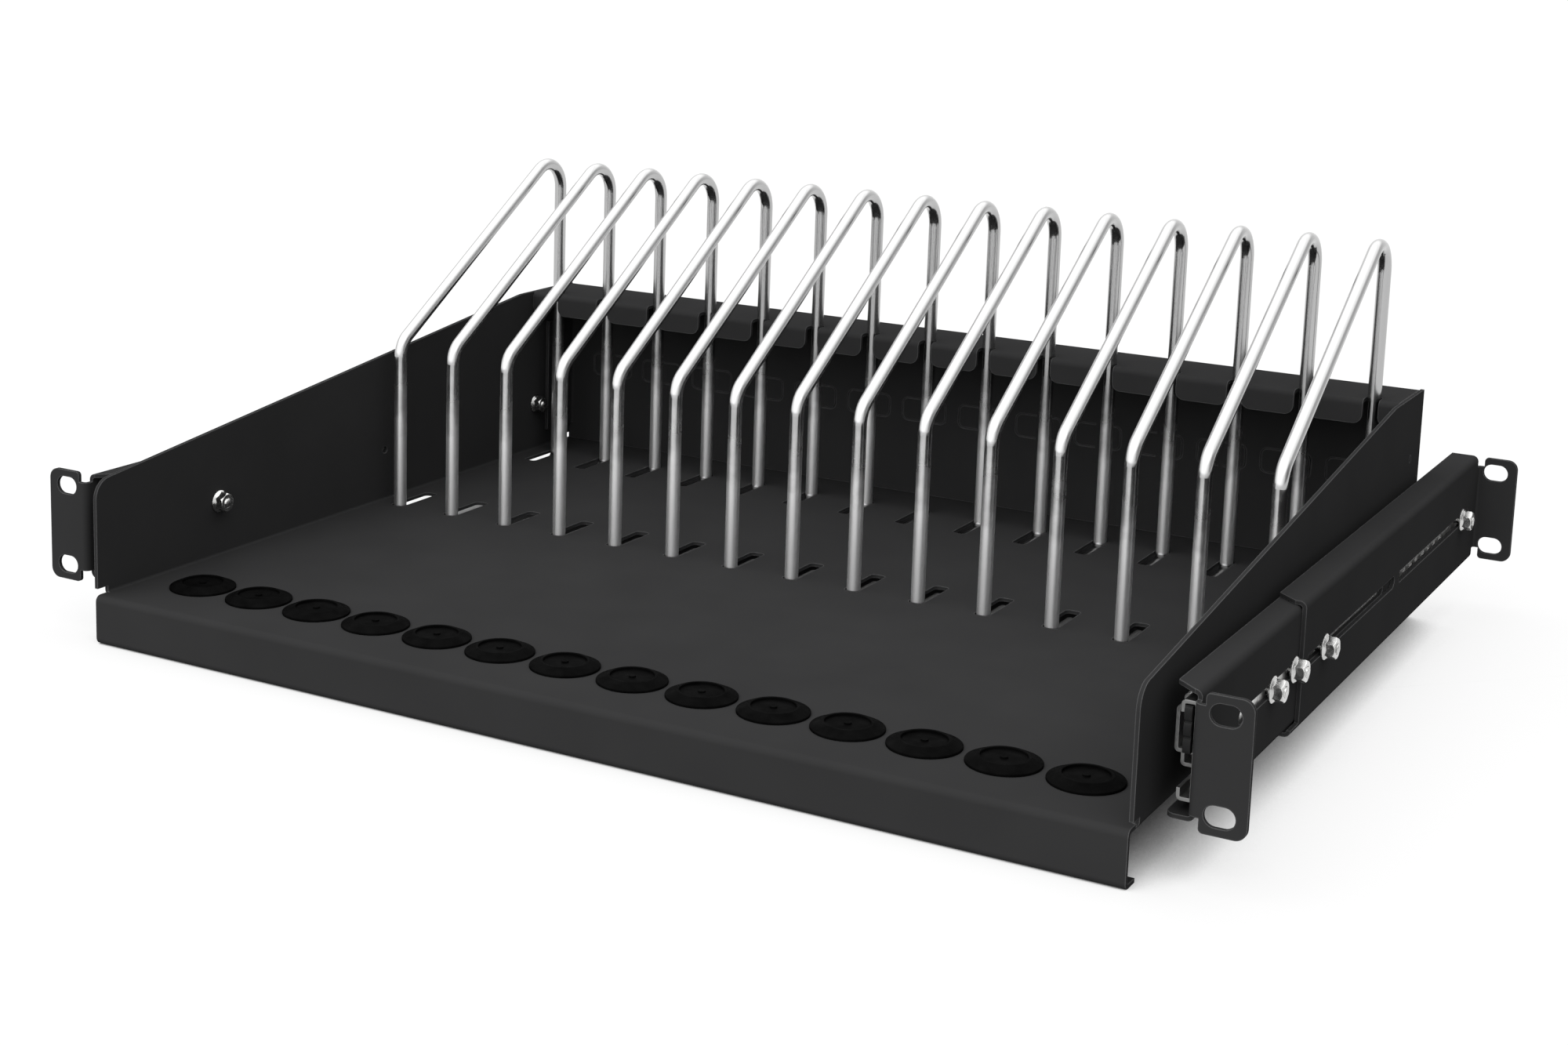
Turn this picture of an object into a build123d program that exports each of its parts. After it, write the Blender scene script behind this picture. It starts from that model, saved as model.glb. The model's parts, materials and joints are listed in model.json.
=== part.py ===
from build123d import *
import math
import os

# Rack standard sizes, in millimetres
HOLE_SPAN_X = 465.1
HOLE_SPAN_Z = 31.75
RACK_DEPTH = 362.6

# Rack ears
EAR_HEIGHT = 44.0
EAR_EDGE = 8.75
EAR_ROOT = 8.55
EAR_CORNER = 4.0
EAR_ROOT_CORNER = 1.5
EAR_SLOT_LENGTH = 10.0
EAR_SLOT_HEIGHT = 7.0
RELIEF_WIDTH = 2.2
RELIEF_DEPTH = 3.2

# Bracket channels
BRACKET_SHEET = 1.5
SHEET_BEND = 1.0
NEST_GAP = 0.1
CHANNEL_TOP = 21.2
CHANNEL_BOTTOM = -20.6
FLANGE_WIDTH = 9.5
FLANGE_MITRE = 6.0
FLANGE_CORNER = 3.0
FRONT_BRACKET_LENGTH = 228.0
REAR_WEB_GAP = 0.6
REAR_TONGUE = 9.0
SLOT_HEIGHT = 4.6
FRONT_SLOT = (42.0, 216.0)
REAR_SLOT_MARGIN = 5.0
REAR_SLOT_BRIDGE = 6.0
REAR_SLOT_TO_EAR = 14.5

# Tray pan
TRAY_SHEET = 1.5
TRAY_BACK = 321.5
WALL_FRONT = -9.5
LIP_FRONT = -10.3
LIP_HEIGHT = 19.3
LIP_SIDE_GAP = 1.1
LIP_RETURN = 8.0
LIP_OVERLAP = 12.0
FLOOR_TOP = -22.0
WALL_TOP = 56.3
WALL_FRONT_TOP = 22.6
WALL_FLAT_START = 277.0
WALL_NOSE_RADIUS = 8.0
WALL_BREAK_RADIUS = 25.0
CORNER_NOTCH = 5.5
CORNER_NOTCH_RISE = 2.5

# Rear comb
COMB_SIDE_GAP = 0.15
COMB_FLOOR_GAP = 0.1
COMB_LIP_FACE = 286.3
COMB_LIP_HEIGHT = 10.3
COMB_LIP_CORNER = 3.8
NOTCH_CLEARANCE = 0.35
SIDE_FLANGE_DEPTH = 23.0
SIDE_FLANGE_BOTTOM = -14.0
SIDE_FLANGE_TOP = 40.0
KNOCKOUT_WIDTH = 22.0
KNOCKOUT_HEIGHT = 11.0
KNOCKOUT_CORNER = 3.0
KNOCKOUT_LINE = 0.6
KNOCKOUT_DEPTH = 0.6
KNOCKOUT_TIE = 2.5
KNOCKOUT_Z = 17.5
RIVET_DIAMETER = 3.2
RIVET_FIT = 0.05
RIVET_Y = 306.0
RIVET_Z = (-8.0, 30.0)

# Wire dividers
WIRE_COUNT = 15
WIRE_MARGIN = 11.3
WIRE_DIAMETER = 5.5
FRONT_LEG_Y = 166.5
REAR_LEG_Y = 292.0
FRONT_CORNER_Z = 50.6
APEX_CORNER_Z = 129.4
FRONT_BEND_RADIUS = 10.0
APEX_RADIUS = 12.0
FOOT_RADIUS = 4.5
FOOT_LENGTH = 20.0
FOOT_GAP = 0.2
FLOOR_SLOT_LENGTH = 27.0
FLOOR_SLOT_CLEARANCE = 0.4
FLOOR_SLOT_CORNER = 2.0

# Cable grommets
GROMMET_Y = 21.4
GROMMET_FLANGE_DIAMETER = 25.6
GROMMET_RIM_DIAMETER = 17.5
GROMMET_RIM_HEIGHT = 2.6
GROMMET_RIM_WALL = 0.9
GROMMET_RIM_ROUND = 0.4
GROMMET_FLANGE_EDGE = 0.8
GROMMET_HOLE_DIAMETER = 20.4
GROMMET_FIT = 0.1
GROMMET_LOWER_DIAMETER = 23.6
GROMMET_LOWER_HEIGHT = 1.7
MEMBRANE_THICKNESS = 0.8
MEMBRANE_DEPTH = 0.9
NIB_DIAMETER = 2.6
NIB_HEIGHT = 0.6

# Ball bearing slides
SLIDE_START = 6.0
SLIDE_END_GAP = 6.6
SLIDE_Z = 0.5
SLIDE_HEIGHT = 32.0
SLIDE_THICKNESS = 12.7
SLIDE_SEAT_GAP = 0.15
SLIDE_SHEET = 1.2
SLIDE_BEND = 0.3
BALL_DIAMETER = 2.9
BALL_FIT = 0.05
HOOK_GAP = 0.2
WEB_GAP = 0.6
OUTER_DEPTH = 5.5
MIDDLE_DEPTH = 8.7
INNER_DEPTH = 7.8
INNER_HOOK = 2.6
MEMBER_SETBACK = 18.0
MIDDLE_END_GAP = 5.0
CAGE_LENGTH = 140.0
CAGE_SHIFT = 5.0
CAGE_THICKNESS = 0.5
CAGE_WIDTH = 2.9
CAGE_OFFSET = 1.0
CAGE_BALLS = 4
CAGE_BALL_FIT = 0.05
LADDER_HOLES = 7
LADDER_TO_STUD = 23.0
LADDER_PITCH = 9.6
LADDER_HOLE_LENGTH = 4.8
LADDER_HOLE_HEIGHT = 7.0
BUMPER_REACH = 1.0
BUMPER_HEIGHT = 15.0
BUMPER_GAP = 0.3
BUMPER_BUMPS = 3
BUMPER_BUMP_RISE = 0.6

# Studs and flange nuts
STUD_DIAMETER = 3.9
STUD_FIT = 0.05
STUD_END_CHAMFER = 0.4
NUT_ACROSS_FLATS = 7.0
NUT_HEIGHT = 4.6
NUT_CROWN = 0.7
NUT_FLANGE_DIAMETER = 9.2
NUT_FLANGE_EDGE = 0.6
NUT_FLANGE_HEIGHT = 1.6
NUT_SEAT_GAP = 0.05
STUD_PROUD = 1.8
FRONT_STUD_SHARES = (0.2116, 0.2787)
REAR_STUD_FROM_WEB = 25.4
REAR_STUD_TO_EAR = 27.0
TRAY_STUD_Y = (60.0, 290.0)
TRAY_STUD_Z = 0.5
SPARE_HOLE_Y = 170.0
SPARE_HOLE_LENGTH = 3.4
SPARE_HOLE_HEIGHT = 3.0

# Widths that follow from the rack's hole spacing, worked inwards
EAR_TIP = HOLE_SPAN_X / 2 + EAR_EDGE
WEB_OUTER = HOLE_SPAN_X / 2 - EAR_ROOT
WEB_INNER = WEB_OUTER - BRACKET_SHEET
SLIDE_X = WEB_INNER - SLIDE_SEAT_GAP - SLIDE_THICKNESS
HALF_TRAY = SLIDE_X - SLIDE_SEAT_GAP
WALL_INNER = HALF_TRAY - TRAY_SHEET
LIP_HALF = HALF_TRAY - LIP_SIDE_GAP
REAR_WEB_INNER = WEB_OUTER + NEST_GAP
REAR_WEB_OUTER = REAR_WEB_INNER + BRACKET_SHEET
FLANGE_EDGE = WEB_OUTER - FLANGE_WIDTH
WIRE_PITCH = 2 * (WALL_INNER - WIRE_MARGIN) / (WIRE_COUNT - 1)
WIRE_X = [(i - (WIRE_COUNT - 1) / 2) * WIRE_PITCH for i in range(WIRE_COUNT)]
BAY_X = [x + WIRE_PITCH / 2 for x in WIRE_X[:-1]]

# Depths that follow from the rack's depth
FRONT_STUD_Y = tuple(RACK_DEPTH * share for share in FRONT_STUD_SHARES)
REAR_WEB_START = FRONT_STUD_Y[1] + NUT_FLANGE_DIAMETER / 2 + REAR_WEB_GAP
REAR_SLOT_START = REAR_WEB_START + REAR_SLOT_MARGIN
REAR_SLOT_END = RACK_DEPTH - REAR_SLOT_TO_EAR
REAR_SLOT_MIDDLE = (REAR_SLOT_START + REAR_SLOT_END) / 2
REAR_SLOT_ONE = (REAR_SLOT_START, REAR_SLOT_MIDDLE - REAR_SLOT_BRIDGE / 2)
REAR_SLOT_TWO = (REAR_SLOT_MIDDLE + REAR_SLOT_BRIDGE / 2, REAR_SLOT_END)
REAR_STUD_Y = (REAR_WEB_START + REAR_STUD_FROM_WEB, RACK_DEPTH - REAR_STUD_TO_EAR)
SLIDE_END = RACK_DEPTH - SLIDE_END_GAP
CAGE_MIDDLE = (SLIDE_START + SLIDE_END) / 2 + CAGE_SHIFT
REAR_LIP_BACK = TRAY_BACK + SHEET_BEND + TRAY_SHEET

# Heights that follow from the tray and the sheet
FLOOR_BOTTOM = FLOOR_TOP - TRAY_SHEET
LIP_BOTTOM = FLOOR_TOP - LIP_HEIGHT
NEST_STEP = BRACKET_SHEET + NEST_GAP
BALL_STEP = BALL_DIAMETER + 2 * BALL_FIT


def along_x(face, start, end):
    """Extrude a face drawn as (Y, Z) between two X places."""
    return extrude(Plane((start, 0, 0), x_dir=(0, 1, 0), z_dir=(1, 0, 0)) * face, amount=end - start)


def along_y(face, start, end):
    """Extrude a face drawn as (X, Z) between two Y places."""
    return extrude(Plane((0, end, 0), x_dir=(1, 0, 0), z_dir=(0, -1, 0)) * face, amount=end - start)


def along_z(face, start, end):
    """Extrude a face drawn as (X, Y) between two Z places."""
    return extrude(Plane.XY.offset(start) * face, amount=end - start)


def block(x, y, z):
    """Box between pairs of X, Y and Z places."""
    centre = [(low + high) / 2 for low, high in (x, y, z)]
    return Pos(*centre) * Box(x[1] - x[0], y[1] - y[0], z[1] - z[0])


def bent_sheet(points, sheet, bend):
    """Outline of bent sheet that follows a path, with its thickness to the right of the path."""
    path = [Vector(*point) for point in points]
    steps = [(b - a).normalized() for a, b in zip(path, path[1:])]
    sides = [Vector(step.Y, -step.X) for step in steps]
    far = [path[0] + sides[0] * sheet]
    near_radii, far_radii = [0], [0]
    for i in range(1, len(path) - 1):
        middle = sides[i - 1] + sides[i]
        far.append(path[i] + middle * (sheet / middle.dot(sides[i])))
        right_turn = steps[i - 1].cross(steps[i]).Z < 0
        near_radii.append(bend + sheet if right_turn else bend)
        far_radii.append(bend if right_turn else bend + sheet)
    far.append(path[-1] + sides[-1] * sheet)
    radii = near_radii + [0, 0] + far_radii[::-1]
    return make_face(FilletPolyline(*path, *far[::-1], radius=radii, close=True))


def right_and_left(solid):
    """The right-hand piece and its mirror image."""
    return {"right": solid, "left": mirror(solid, about=Plane.YZ)}


def ear_slots(y):
    """Cutters for the two rack slots of a right-hand ear."""
    slot = SlotOverall(EAR_SLOT_LENGTH, EAR_SLOT_HEIGHT)
    reach = 2 * BRACKET_SHEET
    return [
        along_y(Pos(HOLE_SPAN_X / 2, side * HOLE_SPAN_Z / 2) * slot, y - reach, y + reach)
        for side in (-1, 1)
    ]


def ear_corners(ear):
    """Corner edges at the top and bottom of an ear plate, grouped from its root to its tip."""
    edges = ear.edges().filter_by(Axis.Y)
    return edges.filter_by(lambda edge: abs(abs(edge.center().Z) - EAR_HEIGHT / 2) < 0.01).group_by(Axis.X)


def ear_plate(path, web_x, relief, y):
    """Ear with the strip of web that joins it to its channel."""
    half = EAR_HEIGHT / 2
    ear = along_z(bent_sheet(path, BRACKET_SHEET, SHEET_BEND), -half, half)
    root_x = web_x + RELIEF_WIDTH
    for top, bottom in ((half + 1, CHANNEL_TOP - RELIEF_DEPTH), (CHANNEL_BOTTOM + RELIEF_DEPTH, -half - 1)):
        ear -= block((web_x - 2 * BRACKET_SHEET - SHEET_BEND, root_x), relief, (bottom, top))
    ear = fillet(ear_corners(ear)[-1], EAR_CORNER)
    ear = fillet(ear_corners(ear)[0], EAR_ROOT_CORNER)
    for slot in ear_slots(y):
        ear -= slot
    return ear


def channel(outside, top, bottom, start, end):
    """Channel section with its flanges turned in towards the tray."""
    path = [(FLANGE_EDGE, top), (outside, top), (outside, bottom), (FLANGE_EDGE, bottom)]
    return along_y(bent_sheet(path, BRACKET_SHEET, SHEET_BEND), start, end)


def trimmed_flanges(body, start, top):
    """Mitre the front end of the top flange and round the front corner of the bottom one."""
    root = WEB_OUTER - BRACKET_SHEET - SHEET_BEND
    mitre = Polyline((root, start), (FLANGE_EDGE, start + FLANGE_MITRE), (FLANGE_EDGE, start), close=True)
    body -= along_z(make_face(mitre), top - 2 * BRACKET_SHEET, top)
    corner = body.edges().filter_by(Axis.Z).group_by(Axis.Z)[0].group_by(Axis.X)[0].group_by(Axis.Y)[0]
    return fillet(corner, FLANGE_CORNER)


def web_slot(span, x):
    """Cutter for a long slot in a bracket web."""
    length = span[1] - span[0]
    slot = Pos((span[0] + span[1]) / 2, SLIDE_Z) * SlotOverall(length, SLOT_HEIGHT)
    return along_x(slot, x - 2 * BRACKET_SHEET, x + 2 * BRACKET_SHEET)


def front_bracket():
    """Right-hand front bracket: channel, rack ear and one long slot."""
    channel_start = BRACKET_SHEET + RELIEF_WIDTH
    joint_y = channel_start + SHEET_BEND
    path = [(EAR_TIP, 0), (WEB_INNER, 0), (WEB_INNER, joint_y)]
    ear = ear_plate(path, WEB_OUTER, (-1, joint_y + 1), 0)
    body = channel(WEB_OUTER, CHANNEL_TOP, CHANNEL_BOTTOM, channel_start, FRONT_BRACKET_LENGTH)
    body = trimmed_flanges(body, channel_start, CHANNEL_TOP)
    return ear + body - web_slot(FRONT_SLOT, WEB_OUTER)


def rear_bracket():
    """Right-hand rear bracket: it wraps the front one and carries the rear ear."""
    top, bottom = CHANNEL_TOP + NEST_STEP, CHANNEL_BOTTOM - NEST_STEP
    ear_back = RACK_DEPTH + BRACKET_SHEET
    channel_end = RACK_DEPTH - RELIEF_WIDTH
    joint_y = channel_end - SHEET_BEND
    path = [(REAR_WEB_INNER, joint_y), (REAR_WEB_INNER, ear_back), (EAR_TIP, ear_back)]
    ear = ear_plate(path, REAR_WEB_OUTER, (joint_y - 1, ear_back + 1), ear_back)
    body = channel(REAR_WEB_OUTER, top, bottom, REAR_WEB_START - REAR_TONGUE, channel_end)
    body -= block(
        (FLANGE_EDGE - 1, REAR_WEB_OUTER + 1),
        (REAR_WEB_START - REAR_TONGUE - 1, REAR_WEB_START),
        (bottom + BRACKET_SHEET + SHEET_BEND, top + 1),
    )
    body = trimmed_flanges(body, REAR_WEB_START, top)
    for span in (REAR_SLOT_ONE, REAR_SLOT_TWO):
        body -= web_slot(span, REAR_WEB_OUTER)
    return ear + body


def slide_section(points):
    """Slide section outline, drawn from the tray wall outwards and moved to its place."""
    return Pos(SLIDE_X, SLIDE_Z) * bent_sheet(points, SLIDE_SHEET, SLIDE_BEND)


def hooked(outside, open_side, arm, hook):
    """Path of a C section whose arms end in hooks turned inwards."""
    half = [(open_side, hook), (open_side, arm), (outside, arm)]
    return half + [(x, -z) for x, z in half[::-1]]


OUTER_ARM = SLIDE_HEIGHT / 2
ROW_ONE_Z = OUTER_ARM - SLIDE_SHEET - BALL_STEP / 2
MIDDLE_ARM = OUTER_ARM - SLIDE_SHEET - BALL_STEP
MIDDLE_OUTSIDE = SLIDE_THICKNESS - SLIDE_SHEET - WEB_GAP
ROW_TWO_Z = MIDDLE_ARM - SLIDE_SHEET - BALL_STEP / 2
INNER_ARM = MIDDLE_ARM - SLIDE_SHEET - BALL_STEP
OUTER_HOOK_X = SLIDE_THICKNESS - OUTER_DEPTH
MIDDLE_HOOK_X = MIDDLE_OUTSIDE - MIDDLE_DEPTH
ROW_ONE_X = (OUTER_HOOK_X + SLIDE_THICKNESS) / 2
ROW_TWO_X = (MIDDLE_HOOK_X + INNER_DEPTH) / 2


def stud_hole(x, y, z):
    """Cutter for the close hole that a stud is pressed into."""
    return Pos(x, y, z) * Rot(0, 90, 0) * Cylinder(STUD_DIAMETER / 2 + STUD_FIT, 4 * SLIDE_SHEET)


def slide_outer():
    """Outer slide member, fixed to the brackets."""
    section = hooked(SLIDE_THICKNESS, OUTER_HOOK_X, OUTER_ARM, MIDDLE_ARM + HOOK_GAP)
    member = along_y(slide_section(section), SLIDE_START, SLIDE_END)
    web_x = SLIDE_X + SLIDE_THICKNESS
    for y in FRONT_STUD_Y + REAR_STUD_Y:
        member -= stud_hole(web_x, y, SLIDE_Z)
    for i in range(LADDER_HOLES):
        hole = Rectangle(LADDER_HOLE_LENGTH, LADDER_HOLE_HEIGHT)
        place = Pos(REAR_STUD_Y[1] - LADDER_TO_STUD - i * LADDER_PITCH, SLIDE_Z)
        member -= along_x(place * hole, web_x - 2 * SLIDE_SHEET, web_x + SLIDE_SHEET)
    return member


def slide_middle():
    """Middle slide member, which runs half as far as the tray."""
    section = hooked(MIDDLE_OUTSIDE, MIDDLE_HOOK_X, MIDDLE_ARM, INNER_ARM + HOOK_GAP)
    return along_y(slide_section(section), SLIDE_START + MEMBER_SETBACK, SLIDE_END - MIDDLE_END_GAP)


def slide_inner():
    """Inner slide member, fixed to the tray wall."""
    lip, inside = INNER_ARM + INNER_HOOK, INNER_ARM - SLIDE_SHEET
    half = [(INNER_DEPTH, lip), (INNER_DEPTH, inside), (SLIDE_SHEET, inside)]
    section = half + [(x, -z) for x, z in half[::-1]]
    member = along_y(slide_section(section), SLIDE_START + MEMBER_SETBACK, SLIDE_END)
    for y in TRAY_STUD_Y:
        member -= stud_hole(SLIDE_X, y, TRAY_STUD_Z)
    return member


def cage_places(row_x, row_z):
    """Ball centres of one cage, top row and bottom row."""
    pitch = CAGE_LENGTH / CAGE_BALLS
    ys = [CAGE_MIDDLE + (i - (CAGE_BALLS - 1) / 2) * pitch for i in range(CAGE_BALLS)]
    return [(SLIDE_X + row_x, y, SLIDE_Z + side * row_z) for side in (-1, 1) for y in ys]


def ball_cage(row_x, row_z):
    """Pair of retainer strips with a hole for each ball, set a little outside the ball centres."""
    strip = Pos(SLIDE_X + row_x, CAGE_MIDDLE) * Rectangle(CAGE_WIDTH, CAGE_LENGTH)
    widest = math.sqrt((BALL_DIAMETER / 2) ** 2 - (CAGE_OFFSET - CAGE_THICKNESS / 2) ** 2)
    for x, y, _ in cage_places(row_x, row_z)[:CAGE_BALLS]:
        strip -= Pos(x, y) * Circle(widest + CAGE_BALL_FIT)
    centres = [SLIDE_Z + side * (row_z + CAGE_OFFSET) for side in (-1, 1)]
    return [along_z(strip, z - CAGE_THICKNESS / 2, z + CAGE_THICKNESS / 2) for z in centres]


def cage_balls(row_x, row_z):
    """Balls of one cage."""
    return [Pos(*place) * Sphere(BALL_DIAMETER / 2) for place in cage_places(row_x, row_z)]


def slide_bumper():
    """Plastic front bumper of the middle member, with rounded bumps."""
    back = SLIDE_START + MEMBER_SETBACK
    front = SLIDE_START - BUMPER_REACH
    left = SLIDE_X + OUTER_HOOK_X + SLIDE_SHEET + BUMPER_GAP
    right = SLIDE_X + SLIDE_THICKNESS - SLIDE_SHEET - BUMPER_GAP
    top = SLIDE_Z + OUTER_ARM - SLIDE_SHEET - BUMPER_GAP
    bumper = block((left, right), (front, back), (top - BUMPER_HEIGHT, top))
    step = BUMPER_HEIGHT / BUMPER_BUMPS
    for i in range(BUMPER_BUMPS):
        centre = top - (i + 0.5) * step
        radius = step / 2 - BUMPER_GAP
        bump = Pos(front, centre) * Ellipse(BUMPER_BUMP_RISE, radius)
        bumper += along_x(bump, left, right)
    return bumper


def flange_nut():
    """Hexagon flange nut, standing on its seat and pointing along Z."""
    flat = NUT_ACROSS_FLATS / 2
    corner = NUT_ACROSS_FLATS / math.sqrt(3)
    crown = [(0, 0), (corner, 0), (corner, NUT_HEIGHT - NUT_CROWN), (flat, NUT_HEIGHT), (0, NUT_HEIGHT)]
    rim = NUT_FLANGE_DIAMETER / 2
    flange = [(0, 0), (rim, 0), (rim, NUT_FLANGE_EDGE), (flat, NUT_FLANGE_HEIGHT), (0, NUT_FLANGE_HEIGHT)]
    nut = extrude(RegularPolygon(flat, 6, major_radius=False), amount=NUT_HEIGHT)
    nut &= revolve(Plane.XZ * make_face(Polyline(*crown, close=True)), Axis.Z)
    nut += revolve(Plane.XZ * make_face(Polyline(*flange, close=True)), Axis.Z)
    return nut - Cylinder(STUD_DIAMETER / 2 + STUD_FIT, 4 * NUT_HEIGHT)


def stud(length):
    """Plain stud shank along Z with a chamfered end."""
    shank = Cylinder(STUD_DIAMETER / 2, length, align=(Align.CENTER, Align.CENTER, Align.MIN))
    return chamfer(shank.edges().group_by(Axis.Z)[-1], STUD_END_CHAMFER)


def bracket_fasteners():
    """Studs of the outer member and the nuts that clamp the right-hand brackets."""
    root = SLIDE_X + SLIDE_THICKNESS - SLIDE_SHEET
    outward = Rot(0, 90, 0)
    seats = [(WEB_OUTER, y) for y in FRONT_STUD_Y] + [(REAR_WEB_OUTER, y) for y in REAR_STUD_Y]
    studs, nuts = [], []
    for web, y in seats:
        seat = web + NUT_SEAT_GAP
        studs.append(Pos(root, y, SLIDE_Z) * outward * stud(seat + NUT_HEIGHT + STUD_PROUD - root))
        nuts.append(Pos(seat, y, SLIDE_Z) * outward * flange_nut())
    return studs, nuts


def tray_fasteners():
    """Studs of the inner member and their nuts inside the right-hand tray wall."""
    root = SLIDE_X + SLIDE_SHEET
    seat = WALL_INNER - NUT_SEAT_GAP
    length = root - (seat - NUT_HEIGHT - STUD_PROUD)
    inward = Rot(0, -90, 0)
    studs = [Pos(root, y, TRAY_STUD_Z) * inward * stud(length) for y in TRAY_STUD_Y]
    nuts = [Pos(seat, y, TRAY_STUD_Z) * inward * flange_nut() for y in TRAY_STUD_Y]
    return studs, nuts


def side_outline():
    """Side view of the tray walls: rounded nose, long slope and a level run at the back."""
    below = FLOOR_BOTTOM - 1
    back = TRAY_BACK + 1
    points = [
        (WALL_FRONT, below), (WALL_FRONT, WALL_FRONT_TOP), (WALL_FLAT_START, WALL_TOP),
        (back, WALL_TOP), (back, below),
    ]
    radii = [0, WALL_NOSE_RADIUS, WALL_BREAK_RADIUS, 0, 0]
    return make_face(FilletPolyline(*points, radius=radii, close=True))


def tray_lip(face_y, inward):
    """Lip bent down from the floor edge, with its return flange; inward is the way back to the floor."""
    inner = face_y + inward * LIP_OVERLAP
    path = [
        (face_y + inward * LIP_RETURN, LIP_BOTTOM), (face_y, LIP_BOTTOM), (face_y, FLOOR_TOP), (inner, FLOOR_TOP),
    ]
    if inward < 0:
        path = path[::-1]
    return along_x(bent_sheet(path, TRAY_SHEET, SHEET_BEND), -LIP_HALF, LIP_HALF)


def floor_slot(x, leg_y, inward):
    """Cutter for the slot that a wire foot drops through; inward is the way the foot points."""
    width = WIRE_DIAMETER + 2 * FLOOR_SLOT_CLEARANCE
    near = leg_y - inward * width / 2
    centre = near + inward * FLOOR_SLOT_LENGTH / 2
    slot = Pos(x, centre) * RectangleRounded(width, FLOOR_SLOT_LENGTH, FLOOR_SLOT_CORNER)
    return along_z(slot, FLOOR_BOTTOM - 1, FLOOR_TOP + 1)


def wall_holes():
    """Cutters for the stud holes, the spare oval hole and the rivets, through both side walls."""
    reach = HALF_TRAY + 1
    holes = [(y, TRAY_STUD_Z, Circle(STUD_DIAMETER / 2 + STUD_FIT)) for y in TRAY_STUD_Y]
    holes.append((SPARE_HOLE_Y, TRAY_STUD_Z, SlotOverall(SPARE_HOLE_LENGTH, SPARE_HOLE_HEIGHT)))
    holes += [(RIVET_Y, z, Circle(RIVET_DIAMETER / 2 + RIVET_FIT)) for z in RIVET_Z]
    return [along_x(Pos(y, z) * face, -reach, reach) for y, z, face in holes]


def tray_pan():
    """Tray: floor, side walls and both lips, with every hole and slot."""
    path = [
        (HALF_TRAY, WALL_TOP + 1), (HALF_TRAY, FLOOR_BOTTOM), (-HALF_TRAY, FLOOR_BOTTOM), (-HALF_TRAY, WALL_TOP + 1),
    ]
    pan = along_y(bent_sheet(path, TRAY_SHEET, SHEET_BEND), WALL_FRONT, TRAY_BACK)
    pan &= along_x(side_outline(), -HALF_TRAY - 1, HALF_TRAY + 1)
    notch = (FLOOR_BOTTOM - 1, FLOOR_TOP + CORNER_NOTCH_RISE)
    for span in ((WALL_FRONT - 1, WALL_FRONT + CORNER_NOTCH), (TRAY_BACK - CORNER_NOTCH, TRAY_BACK + 1)):
        pan -= block((-HALF_TRAY - 1, HALF_TRAY + 1), span, notch)
    pan += tray_lip(LIP_FRONT, 1)
    pan += tray_lip(REAR_LIP_BACK, -1)
    for x in WIRE_X:
        pan -= floor_slot(x, FRONT_LEG_Y, 1)
        pan -= floor_slot(x, REAR_LEG_Y, -1)
    for x in BAY_X:
        pan -= along_z(Pos(x, GROMMET_Y) * Circle(GROMMET_HOLE_DIAMETER / 2), FLOOR_BOTTOM - 1, FLOOR_TOP + 1)
    for hole in wall_holes():
        pan -= hole
    return pan


def knockout_line():
    """Outline of one knock-out, left whole at two ties."""
    outer = RectangleRounded(KNOCKOUT_WIDTH, KNOCKOUT_HEIGHT, KNOCKOUT_CORNER)
    inner = RectangleRounded(
        KNOCKOUT_WIDTH - 2 * KNOCKOUT_LINE, KNOCKOUT_HEIGHT - 2 * KNOCKOUT_LINE, KNOCKOUT_CORNER - KNOCKOUT_LINE
    )
    return outer - inner - Rectangle(KNOCKOUT_TIE, 2 * KNOCKOUT_HEIGHT)


def rear_comb():
    """Rear wall whose top turns forward and down into a comb for the rear legs."""
    half = WALL_INNER - COMB_SIDE_GAP
    bottom = FLOOR_TOP + COMB_FLOOR_GAP
    lip_bottom = WALL_TOP - COMB_LIP_HEIGHT
    path = [(COMB_LIP_FACE, lip_bottom), (COMB_LIP_FACE, WALL_TOP), (TRAY_BACK, WALL_TOP), (TRAY_BACK, bottom)]
    comb = along_x(bent_sheet(path, TRAY_SHEET, SHEET_BEND), -half, half)
    flange = bent_sheet(
        [(half - SIDE_FLANGE_DEPTH, TRAY_BACK), (half, TRAY_BACK), (half, TRAY_BACK - SIDE_FLANGE_DEPTH)],
        TRAY_SHEET, SHEET_BEND,
    )
    for piece in right_and_left(along_z(flange, SIDE_FLANGE_BOTTOM, SIDE_FLANGE_TOP)).values():
        comb += piece
    radius = WIRE_DIAMETER / 2 + NOTCH_CLEARANCE
    reach = (lip_bottom - 1, WALL_TOP + 1)
    for x in WIRE_X:
        comb -= block((x - radius, x + radius), (COMB_LIP_FACE - 1, REAR_LEG_Y), reach)
        comb -= along_z(Pos(x, REAR_LEG_Y) * Circle(radius), *reach)
    tips = comb.edges().filter_by(Axis.Y).filter_by(lambda edge: abs(edge.center().Z - lip_bottom) < 0.01)
    comb = fillet(tips, COMB_LIP_CORNER)
    inner_face = TRAY_BACK - TRAY_SHEET
    for x in BAY_X:
        comb -= along_y(Pos(x, KNOCKOUT_Z) * knockout_line(), inner_face - TRAY_SHEET, inner_face + KNOCKOUT_DEPTH)
    for z in RIVET_Z:
        comb -= along_x(Pos(RIVET_Y, z) * Circle(RIVET_DIAMETER / 2 + RIVET_FIT), -HALF_TRAY, HALF_TRAY)
    return comb


def comb_rivets():
    """Flush rivets that hold the comb's side flanges to the tray walls."""
    inner = WALL_INNER - COMB_SIDE_GAP - TRAY_SHEET
    pins = [along_x(Pos(RIVET_Y, z) * Circle(RIVET_DIAMETER / 2), inner, HALF_TRAY) for z in RIVET_Z]
    return pins + [mirror(pin, about=Plane.YZ) for pin in pins]


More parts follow.
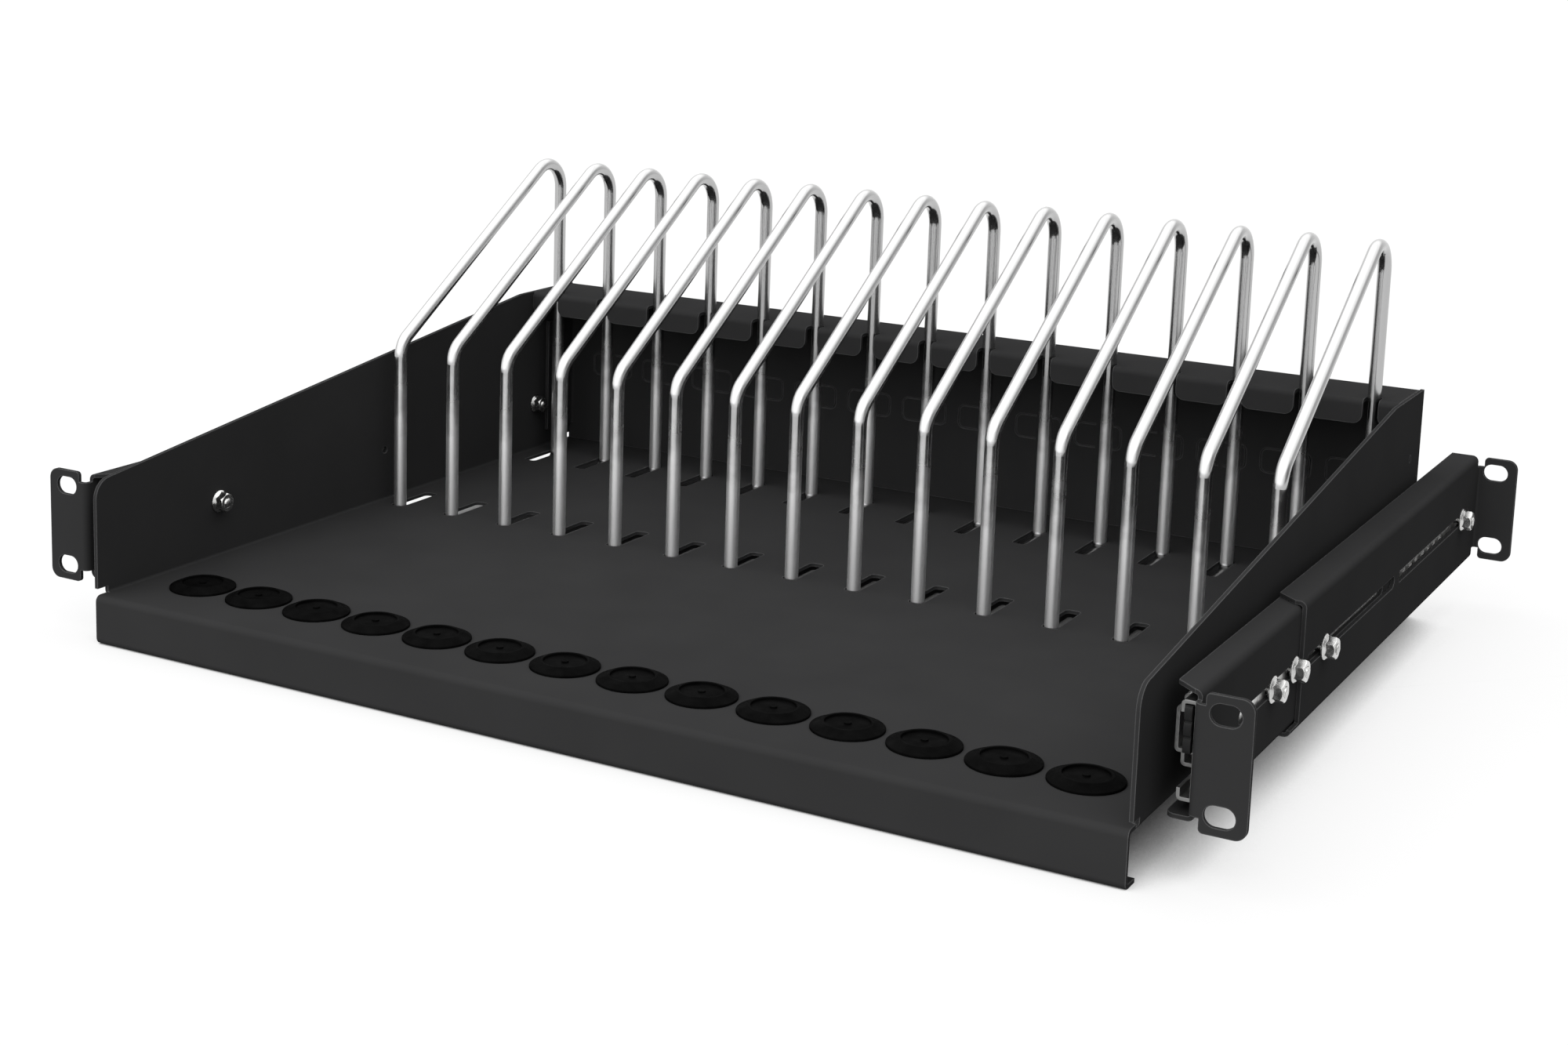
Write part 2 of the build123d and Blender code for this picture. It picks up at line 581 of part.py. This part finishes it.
def wire_divider(x):
    """One bent wire divider, with both feet hooked under the floor."""
    foot_z = FLOOR_BOTTOM - FOOT_GAP - WIRE_DIAMETER / 2
    path = FilletPolyline(
        (x, FRONT_LEG_Y + FOOT_LENGTH, foot_z),
        (x, FRONT_LEG_Y, foot_z),
        (x, FRONT_LEG_Y, FRONT_CORNER_Z),
        (x, REAR_LEG_Y, APEX_CORNER_Z),
        (x, REAR_LEG_Y, foot_z),
        (x, REAR_LEG_Y - FOOT_LENGTH, foot_z),
        radius=[FOOT_RADIUS, FRONT_BEND_RADIUS, APEX_RADIUS, FOOT_RADIUS],
    )
    return sweep(Plane(origin=path @ 0, z_dir=path % 0) * Circle(WIRE_DIAMETER / 2), path=path)


def grommet_outline():
    """Half section of a grommet: sloping flange, panel groove and closed membrane."""
    rim = GROMMET_RIM_DIAMETER / 2
    bore = rim - GROMMET_RIM_WALL
    neck = GROMMET_HOLE_DIAMETER / 2 - GROMMET_FIT
    flange = GROMMET_FLANGE_DIAMETER / 2
    lower = GROMMET_LOWER_DIAMETER / 2
    foot = -TRAY_SHEET - GROMMET_LOWER_HEIGHT
    skin = GROMMET_RIM_HEIGHT - MEMBRANE_DEPTH
    under = skin - MEMBRANE_THICKNESS
    points = [
        (0, under), (bore, under), (bore, foot), (lower, foot), (lower, -TRAY_SHEET), (neck, -TRAY_SHEET), (neck, 0),
        (flange, 0), (flange, GROMMET_FLANGE_EDGE), (rim, GROMMET_RIM_HEIGHT), (bore, GROMMET_RIM_HEIGHT),
        (bore, skin), (NIB_DIAMETER / 2, skin), (NIB_DIAMETER / 2, skin + NIB_HEIGHT), (0, skin + NIB_HEIGHT),
    ]
    rounded = {8: GROMMET_RIM_ROUND, 9: GROMMET_RIM_ROUND, 10: GROMMET_RIM_ROUND / 2}
    return make_face(FilletPolyline(*points, radius=[rounded.get(i, 0) for i in range(len(points))], close=True))


def cable_grommet(x):
    """One grommet in its floor hole."""
    return Pos(x, GROMMET_Y, FLOOR_TOP) * revolve(Plane.XZ * grommet_outline(), Axis.Z)


def save(name, pieces):
    """Write one node as a STEP file; a list becomes a group of separate solids."""
    shape = Compound(children=list(pieces)) if isinstance(pieces, list) else pieces
    export_step(shape, f"parts/{name}.step")


def save_sides(name, pieces):
    """Write a right-hand node and its mirrored left-hand twin."""
    group = pieces if isinstance(pieces, list) else [pieces]
    save(f"{name}_right", group if len(group) > 1 else group[0])
    mirrored = [mirror(piece, about=Plane.YZ) for piece in group]
    save(f"{name}_left", mirrored if len(mirrored) > 1 else mirrored[0])


def main():
    os.makedirs("parts", exist_ok=True)
    save("tray_pan", tray_pan())
    save("rear_comb", rear_comb())
    save("comb_rivets", comb_rivets())
    for i, x in enumerate(WIRE_X, start=1):
        save(f"wire_divider_{i:02d}", wire_divider(x))
    for i, x in enumerate(BAY_X, start=1):
        save(f"cable_grommet_{i:02d}", cable_grommet(x))
    save_sides("front_bracket", front_bracket())
    save_sides("rear_bracket", rear_bracket())
    save_sides("slide_outer", slide_outer())
    save_sides("slide_middle", slide_middle())
    save_sides("slide_inner", slide_inner())
    save_sides("slide_bumper", slide_bumper())
    save_sides("outer_ball_cage", ball_cage(ROW_ONE_X, ROW_ONE_Z))
    save_sides("inner_ball_cage", ball_cage(ROW_TWO_X, ROW_TWO_Z))
    save_sides("outer_balls", cage_balls(ROW_ONE_X, ROW_ONE_Z))
    save_sides("inner_balls", cage_balls(ROW_TWO_X, ROW_TWO_Z))
    studs, nuts = bracket_fasteners()
    save_sides("bracket_studs", studs)
    save_sides("bracket_nuts", nuts)
    studs, nuts = tray_fasteners()
    save_sides("tray_studs", studs)
    save_sides("tray_nuts", nuts)


main()
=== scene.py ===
import json
import math

import bmesh
import bpy
from mathutils import Matrix, Vector

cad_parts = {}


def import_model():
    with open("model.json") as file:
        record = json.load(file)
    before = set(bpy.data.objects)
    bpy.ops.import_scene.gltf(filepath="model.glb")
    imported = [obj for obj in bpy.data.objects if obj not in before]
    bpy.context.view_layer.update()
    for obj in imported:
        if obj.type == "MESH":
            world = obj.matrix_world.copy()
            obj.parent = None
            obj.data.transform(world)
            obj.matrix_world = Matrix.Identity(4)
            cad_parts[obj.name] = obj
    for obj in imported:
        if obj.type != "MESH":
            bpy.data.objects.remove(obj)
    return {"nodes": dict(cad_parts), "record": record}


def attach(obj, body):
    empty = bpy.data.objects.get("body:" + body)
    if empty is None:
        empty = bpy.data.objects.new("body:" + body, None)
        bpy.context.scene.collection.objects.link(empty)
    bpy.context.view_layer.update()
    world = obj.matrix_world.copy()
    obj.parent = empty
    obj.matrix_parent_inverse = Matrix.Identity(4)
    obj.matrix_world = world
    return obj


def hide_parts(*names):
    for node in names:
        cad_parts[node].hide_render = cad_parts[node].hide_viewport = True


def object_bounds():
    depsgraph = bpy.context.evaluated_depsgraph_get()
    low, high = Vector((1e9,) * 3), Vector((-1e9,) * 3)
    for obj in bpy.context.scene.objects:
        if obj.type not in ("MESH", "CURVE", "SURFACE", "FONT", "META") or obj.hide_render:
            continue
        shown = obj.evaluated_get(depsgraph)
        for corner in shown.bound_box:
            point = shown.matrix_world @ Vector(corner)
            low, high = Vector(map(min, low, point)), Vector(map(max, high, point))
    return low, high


WHITE = (1.0, 1.0, 1.0, 1.0)

# Camera, solved from the ears, nuts, tray edges and wires in the photograph
CAMERA_PLACE = (0.4332, -0.6681, 0.2557)
CAMERA_AZIMUTH = 29.72
CAMERA_PITCH = 10.27
CAMERA_ROLL = 1.56
CAMERA_LENS = 55.3
CAMERA_SENSOR = 36.0
CAMERA_SHIFT = (0.05, -0.1333)

# Floor, and how open it has to be, within a reach in metres, to show its own glow; where it is less open
# the glow fades, a painted shadow under things
FLOOR_SPAN = 60.0
FLOOR_WHITE = 0.12
FLOOR_ROUGH = 0.9
FLOOR_GLOW = 0.77
FLOOR_OPEN = (0.1, 0.52)
FLOOR_REACH = 0.2
FLOOR_SAMPLES = 16

# Sky, and its broad lights with their strength and the direction they come from
SKY_HORIZON = 0.3
SKY_TOP = 1.45
SKY_TOP_EDGE = (0.4, 0.75)
SKY_LIGHTS = (
    (2.2, (-0.2, -0.85, 0.5)),
    (0.9, (-0.3, 0.9, 0.3)),
)

# Nodes of the studs, and whether their studs point away from the middle
STUDS = {
    "bracket_studs_left": True,
    "bracket_studs_right": True,
    "tray_studs_left": False,
    "tray_studs_right": False,
}

# Threads of the studs: sizes in metres, steps for each turn, sides around, and the angle of a sharp edge
STUD_APART = 0.005
STUD_SHORT = 0.0012
STUD_ROUND = 0.00045
THREAD_PITCH = 0.0007
THREAD_DEPTH = 0.0003
THREAD_STEPS = 8
THREAD_SIDES = 32
THREAD_SHARP = 50.0

# Part of a noise that is spread over the whole range, and the detail of plain and of rich noise
NOISE_SPAN = (0.3, 0.7)
PLAIN = 2.0
RICH = 4.0

# Edges: the rounding seen in the gloss, the width of the painted highlight along the edges, and the turn
# that counts as an edge
EDGE_RADIUS = 0.0003
EDGE_WIDTH = 0.0006
EDGE_TURN = (0.8, 0.98)
EDGE_SAMPLES = 4

# Wire: rougher low down and glossier above, with painted light in its colour, lighter low down and
# darker above, and a painted shade where it hooks under the floor
WIRE_PAINTED_TONES = (0.92, 0.46)
WIRE_ROUGH = (0.4, 0.18)
WIRE_CLOUD = 0.006
WIRE_WAVER = 0.006
WIRE_SCUFF_AND_TONE_HEIGHT = (0.012, 0.045)
WIRE_UNDER_FLOOR_SHADE = 0.06
WIRE_UNDER_FLOOR_SHADE_HEIGHT = (-0.0228, -0.0218)
WIRE_GRAIN = 0.00075
WIRE_GRAIN_STRETCH = (1.0, 1.0, 0.04)
WIRE_GRAIN_RISE = 0.00001
WIRE_GRAIN_STRENGTH = 0.03

# Painted shade on the front ends of the metal parts, darker towards the front
FRONT_PAINTED_SHADE = 0.3
FRONT_PAINTED_SHADE_DEPTH = (0.012, 0.035)

# The other finishes by material slot, with sizes in metres.
# Clouds vary the colour, patches vary the roughness, and the grain is raised.
FINISHES = {
    "black_paint": {
        # The paint's lighter edge colour is a painted highlight along the edges.
        "name": "powder_coat", "metal": 0.0, "gloss": 0.0, "painted_edge_highlight": (0.085, 0.085, 0.086),
        "dark": (0.0195, 0.0195, 0.0198), "light": (0.0215, 0.0215, 0.0218),
        "cloud": 0.04, "cloud_detail": PLAIN, "patch": 0.01, "rough": (0.56, 0.64),
        "grain": 0.0005, "grain_detail": 3.0, "rise": 0.00005, "strength": 0.35,
    },
    "rubber": {
        "name": "moulded_rubber", "metal": 0.0, "gloss": 0.004,
        "dark": (0.0012, 0.0012, 0.0012), "light": (0.0025, 0.0025, 0.0025),
        "cloud": 0.005, "cloud_detail": RICH, "patch": 0.006, "rough": (0.42, 0.6),
        "grain": 0.001, "grain_detail": PLAIN, "rise": 0.00005, "strength": 0.3,
    },
    "black_plastic": {
        "name": "moulded_plastic", "metal": 0.0, "gloss": 0.1,
        "dark": (0.006, 0.006, 0.006), "light": (0.01, 0.01, 0.01),
        "cloud": 0.006, "cloud_detail": PLAIN, "patch": 0.003, "rough": (0.38, 0.5),
        "grain": 0.0005, "grain_detail": PLAIN, "rise": 0.0000417, "strength": 0.3,
    },
    "zinc_steel": {
        "name": "zinc_plate", "metal": 1.0, "gloss": 0.5,
        "dark": (0.615, 0.615, 0.6075), "light": (0.82, 0.82, 0.81),
        "cloud": 0.003, "cloud_detail": RICH, "patch": 0.0015, "rough": (0.36, 0.48),
        "grain": 0.002, "grain_detail": PLAIN, "rise": 0.00002, "strength": 0.1,
    },
    "ball_steel": {
        "name": "polished_balls", "metal": 1.0, "gloss": 0.5,
        "dark": (0.6, 0.6, 0.6), "light": (0.8, 0.8, 0.8),
        "cloud": 0.003, "cloud_detail": RICH, "patch": 0.0015, "rough": (0.06, 0.18),
        "grain": 0.002, "grain_detail": PLAIN, "rise": 0.00002, "strength": 0.1,
    },
    "fastener_zinc": {
        "name": "nut_plate", "metal": 1.0, "gloss": 0.5,
        "dark": (0.495, 0.495, 0.4875), "light": (0.66, 0.66, 0.65),
        "cloud": 0.003, "cloud_detail": RICH, "patch": 0.0015, "rough": (0.18, 0.3),
        "grain": 0.002, "grain_detail": PLAIN, "rise": 0.00002, "strength": 0.1,
    },
}


class Nodes:
    """Small helper that adds nodes to one tree and links them."""

    def __init__(self, tree):
        self.tree = tree

    def node(self, kind, **values):
        """Add a node and set its properties or its inputs by name."""
        node = self.tree.nodes.new(kind)
        for key, value in values.items():
            if hasattr(node, key):
                setattr(node, key, value)
            else:
                node.inputs[key.replace("_", " ")].default_value = value
        return node

    def link(self, source, target):
        """Link an output to an input."""
        self.tree.links.new(source, target)

    def math(self, operation, *values):
        """Math on linked values and plain numbers."""
        node = self.node("ShaderNodeMath", operation=operation)
        for value, socket in zip(values, node.inputs):
            if isinstance(value, float):
                socket.default_value = value
            else:
                self.link(value, socket)
        return node.outputs["Value"]

    def dot(self, one, other):
        """Dot product of a linked vector with another one, or with plain numbers."""
        node = self.node("ShaderNodeVectorMath", operation="DOT_PRODUCT")
        self.link(one, node.inputs[0])
        if isinstance(other, tuple):
            node.inputs[1].default_value = other
        else:
            self.link(other, node.inputs[1])
        return node.outputs["Value"]

    def part(self, vector, name):
        """One of a vector's three values."""
        node = self.node("ShaderNodeSeparateXYZ")
        self.link(vector, node.inputs["Vector"])
        return node.outputs[name]

    def span(self, source, low, high, start=NOISE_SPAN[0], end=NOISE_SPAN[1], **values):
        """Map a value onto a range."""
        limits = {"From_Min": start, "From_Max": end, "To_Min": low, "To_Max": high}
        node = self.node("ShaderNodeMapRange", **limits, **values)
        self.link(source, node.inputs["Value"])
        return node.outputs["Result"]


class Shader(Nodes):
    """Nodes of one material."""

    def __init__(self, name, **values):
        self.material = bpy.data.materials.new(name)
        self.material.use_nodes = True
        super().__init__(self.material.node_tree)
        self.surface = self.tree.nodes["Principled BSDF"]
        for key, value in values.items():
            self.surface.inputs[key.replace("_", " ")].default_value = value

    def drive(self, name, source):
        """Link a value to one of the surface's inputs."""
        self.link(source, self.surface.inputs[name])

    def place(self, stretch=(1.0, 1.0, 1.0)):
        """Object coordinates, stretched along each axis."""
        mapping = self.node("ShaderNodeMapping", Scale=stretch)
        self.link(self.node("ShaderNodeTexCoord").outputs["Object"], mapping.inputs["Vector"])
        return mapping.outputs["Vector"]

    def noise(self, size, detail=PLAIN, stretch=(1.0, 1.0, 1.0)):
        """Noise whose features are about this size in metres."""
        noise = self.node("ShaderNodeTexNoise", Scale=1.0 / size, Detail=detail)
        self.link(self.place(stretch), noise.inputs["Vector"])
        return noise.outputs["Fac"]

    def rounded(self, radius):
        """Normal of the surface with its edges rounded."""
        return self.node("ShaderNodeBevel", samples=EDGE_SAMPLES, Radius=radius).outputs["Normal"]

    def edges(self):
        """Mask that is 1 along sharp edges and 0 on open faces."""
        flat = self.node("ShaderNodeNewGeometry").outputs["Normal"]
        return self.span(self.dot(self.rounded(EDGE_WIDTH), flat), 1.0, 0.0, *EDGE_TURN)

    def blend(self, factor, dark, light):
        """Blend two colours by a noise."""
        ramp = self.node("ShaderNodeValToRGB")
        for stop, color, position in zip(ramp.color_ramp.elements, (dark, light), NOISE_SPAN):
            stop.color = (*color, 1.0)
            stop.position = position
        self.link(factor, ramp.inputs["Fac"])
        return ramp.outputs["Color"]

    def paint_edge_highlight(self, color, painted_edge_highlight):
        """Lay another colour over the edges: a painted highlight."""
        mix = self.node("ShaderNodeMixRGB", Color2=(*painted_edge_highlight, 1.0))
        self.link(self.edges(), mix.inputs["Fac"])
        self.link(color, mix.inputs["Color1"])
        return mix.outputs["Color"]

    def darken(self, color, shade):
        """Multiply a colour by a value."""
        mix = self.node("ShaderNodeMixRGB", blend_type="MULTIPLY", Fac=1.0)
        self.link(color, mix.inputs["Color1"])
        self.link(shade, mix.inputs["Color2"])
        return mix.outputs["Color"]

    def bump(self, height, rise, strength, normal=None):
        """Raise the surface by a texture."""
        bump = self.node("ShaderNodeBump", Distance=rise, Strength=strength)
        self.link(height, bump.inputs["Height"])
        if normal:
            self.link(normal, bump.inputs["Normal"])
        self.drive("Normal", bump.outputs["Normal"])


def coated(look):
    """Finish with clouds in its colour, patches in its roughness and a fine raised grain."""
    coat = Shader(look["name"], Metallic=look["metal"], Specular_IOR_Level=look["gloss"])
    color = coat.blend(coat.noise(look["cloud"], look["cloud_detail"]), look["dark"], look["light"])
    # Lighter colour along the edges: a painted highlight.
    if "painted_edge_highlight" in look:
        color = coat.paint_edge_highlight(color, look["painted_edge_highlight"])
    # Metals are darker towards their front ends: a painted shade.
    if look["metal"]:
        front_shade = coat.span(coat.part(coat.place(), "Y"), FRONT_PAINTED_SHADE, 1.0, *FRONT_PAINTED_SHADE_DEPTH)
        color = coat.darken(color, front_shade)
    coat.drive("Base Color", color)
    coat.drive("Roughness", coat.span(coat.noise(look["patch"]), *look["rough"]))
    grain = coat.noise(look["grain"], look["grain_detail"])
    coat.bump(grain, look["rise"], look["strength"], coat.rounded(EDGE_RADIUS))
    return coat.material


def plated_wire():
    """Plated wire, rougher low down, with painted light in its colour, lighter low down and darker
    above, and a painted shade where it hooks under the floor.
    """
    wire = Shader("plated_wire", Metallic=1.0)
    height = wire.part(wire.place(), "Z")
    waver = wire.span(wire.noise(WIRE_CLOUD, RICH), -WIRE_WAVER, WIRE_WAVER)
    upper_gloss_and_shade = wire.span(wire.math("ADD", height, waver), 0.0, 1.0, *WIRE_SCUFF_AND_TONE_HEIGHT)
    # Lighter low down and darker above: painted light in the wire's colour.
    painted_tone = wire.span(upper_gloss_and_shade, *WIRE_PAINTED_TONES, 0.0, 1.0)
    # Dark below the floor: a painted shade.
    under_floor_shade = wire.span(height, WIRE_UNDER_FLOOR_SHADE, 1.0, *WIRE_UNDER_FLOOR_SHADE_HEIGHT)
    wire.drive("Base Color", wire.math("MULTIPLY", painted_tone, under_floor_shade))
    wire.drive("Roughness", wire.span(upper_gloss_and_shade, *WIRE_ROUGH, 0.0, 1.0))
    wire.bump(wire.noise(WIRE_GRAIN, stretch=WIRE_GRAIN_STRETCH), WIRE_GRAIN_RISE, WIRE_GRAIN_STRENGTH)
    return wire.material


def dress(frame):
    """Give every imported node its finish, by its material slot in the record."""
    finishes = {slot: coated(look) for slot, look in FINISHES.items()}
    finishes["bright_wire"] = plated_wire()
    for part in frame["record"]["subparts"]:
        node = frame["nodes"][part["node"]]
        node.data.materials.clear()
        node.data.materials.append(finishes[part["material_slot"]])
    return finishes


def stud_boxes(node):
    """Spans in X, Y and Z of each of a node's studs, which stand apart along Y."""
    points = sorted((vertex.co for vertex in node.data.vertices), key=lambda point: point.y)
    studs = [[points[0]]]
    for point in points[1:]:
        if point.y - studs[-1][-1].y > STUD_APART:
            studs.append([])
        studs[-1].append(point)
    for stud in studs:
        yield [(min(values), max(values)) for values in zip(*stud)]


def thread_radius(along, turn, length, radius):
    """Radius of a threaded stud at a distance from its root and a share of a turn."""
    phase = (along / THREAD_PITCH - turn) % 1.0
    groove = THREAD_DEPTH * (1.0 - abs(2.0 * phase - 1.0))
    return min(radius - groove, radius - STUD_ROUND + length - along)


def add_thread(shape, root, tip, middle, radius):
    """Add one threaded stud along X from its root to its rounded tip."""
    length = abs(tip - root)
    rings = math.ceil(length / THREAD_PITCH * THREAD_STEPS)
    last = None
    for i in range(rings + 1):
        x = root + (tip - root) * i / rings
        ring = []
        for j in range(THREAD_SIDES):
            turn = j / THREAD_SIDES
            size = thread_radius(length * i / rings, turn, length, radius)
            angle = math.tau * turn
            y = middle[0] + size * math.cos(angle)
            z = middle[1] + size * math.sin(angle)
            ring.append(shape.verts.new((x, y, z)))
        if last:
            for j in range(THREAD_SIDES):
                shape.faces.new((last[j - 1], last[j], ring[j], ring[j - 1]))
        if i in (0, rings):
            shape.faces.new(ring)
        last = ring


def add_studs(frame, name, outward, finish):
    """Threaded studs in the place of a node's plain ones, on the same body."""
    bodies = frame["record"]["behaviour"]["bodies"]
    shape = bmesh.new()
    for (x0, x1), (y0, y1), (z0, z1) in stud_boxes(frame["nodes"][name]):
        root, tip = (x0, x1 - STUD_SHORT) if outward == (x0 > 0) else (x1, x0 + STUD_SHORT)
        add_thread(shape, root, tip, ((y0 + y1) / 2, (z0 + z1) / 2), (y1 - y0) / 2)
    bmesh.ops.recalc_face_normals(shape, faces=shape.faces)
    mesh = bpy.data.meshes.new(name + "_threaded")
    shape.to_mesh(mesh)
    shape.free()
    mesh.shade_smooth()
    mesh.set_sharp_from_angle(angle=math.radians(THREAD_SHARP))
    mesh.materials.append(finish)
    piece = bpy.data.objects.new(name + "_threaded", mesh)
    bpy.context.scene.collection.objects.link(piece)
    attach(piece, next(body for body, nodes in bodies.items() if name in nodes))
    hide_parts(name)


def add_camera():
    """Camera at the solved place, turned and rolled as in the photograph."""
    azimuth, pitch, roll = (math.radians(a) for a in (CAMERA_AZIMUTH, CAMERA_PITCH, CAMERA_ROLL))
    back = Vector((
        math.sin(azimuth) * math.cos(pitch), -math.cos(azimuth) * math.cos(pitch), math.sin(pitch),
    ))
    right = (-back).cross(Vector((0.0, 0.0, 1.0))).normalized()
    turn = Matrix((right, back.cross(right), back)).transposed() @ Matrix.Rotation(roll, 3, "Z")
    lens = bpy.data.cameras.new("camera")
    lens.sensor_fit = "HORIZONTAL"
    lens.sensor_width = CAMERA_SENSOR
    lens.lens = CAMERA_LENS
    lens.shift_x, lens.shift_y = CAMERA_SHIFT
    lens.clip_end = 2 * FLOOR_SPAN
    camera = bpy.data.objects.new("camera", lens)
    camera.matrix_world = Matrix.Translation(CAMERA_PLACE) @ turn.to_4x4()
    bpy.context.scene.collection.objects.link(camera)
    bpy.context.scene.camera = camera


def white_floor():
    """White that glows by itself, but not where something stands close above it: a painted shadow under
    things.
    """
    white = Shader(
        "floor_white", Roughness=FLOOR_ROUGH, Specular_IOR_Level=0.0,
        Base_Color=(FLOOR_WHITE, FLOOR_WHITE, FLOOR_WHITE, 1.0), Emission_Color=WHITE,
    )
    free = white.node("ShaderNodeAmbientOcclusion", samples=FLOOR_SAMPLES, Distance=FLOOR_REACH)
    # The glow fades where little is open above: a painted shadow.
    white.drive("Emission Strength", white.span(free.outputs["AO"], 0.0, FLOOR_GLOW, *FLOOR_OPEN))
    return white.material


def add_floor(height):
    """Floor under the lips of the tray that runs past the edge of the view.

    It shows, takes shadows and is mirrored in the metal, and it throws no light up at the paint.
    """
    mesh = bpy.data.meshes.new("floor")
    shape = bmesh.new()
    bmesh.ops.create_grid(shape, x_segments=1, y_segments=1, size=FLOOR_SPAN / 2)
    shape.to_mesh(mesh)
    shape.free()
    mesh.materials.append(white_floor())
    floor = bpy.data.objects.new("floor", mesh)
    floor.location.z = height
    floor.visible_diffuse = False
    bpy.context.scene.collection.objects.link(floor)


def add_sky():
    """Studio sky: soft light overhead, a broad light from the front left and a weak one from behind."""
    world = bpy.data.worlds.new("studio")
    world.use_nodes = True
    sky = Nodes(world.node_tree)
    toward = sky.node("ShaderNodeTexCoord").outputs["Generated"]
    height = sky.part(toward, "Z")
    level = sky.span(height, SKY_HORIZON, SKY_TOP, *SKY_TOP_EDGE, interpolation_type="SMOOTHSTEP")
    for strength, source in SKY_LIGHTS:
        facing = sky.math("MAXIMUM", sky.dot(toward, source), 0.0)
        level = sky.math("MULTIPLY_ADD", facing, strength, level)
    background = sky.tree.nodes["Background"]
    background.inputs["Color"].default_value = WHITE
    sky.link(level, background.inputs["Strength"])
    bpy.context.scene.world = world


def set_tones():
    """Show white as white, as the photograph does."""
    view = bpy.context.scene.view_settings
    view.view_transform = "Standard"
    view.look = "None"


def as_lists(corners):
    """Corners as plain lists of numbers."""
    return [list(corner) for corner in corners]


def main():
    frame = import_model()
    cad = as_lists(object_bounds())
    finishes = dress(frame)
    for name, outward in STUDS.items():
        add_studs(frame, name, outward, finishes["fastener_zinc"])
    add_camera()
    add_floor(cad[0][2])
    add_sky()
    set_tones()


main()
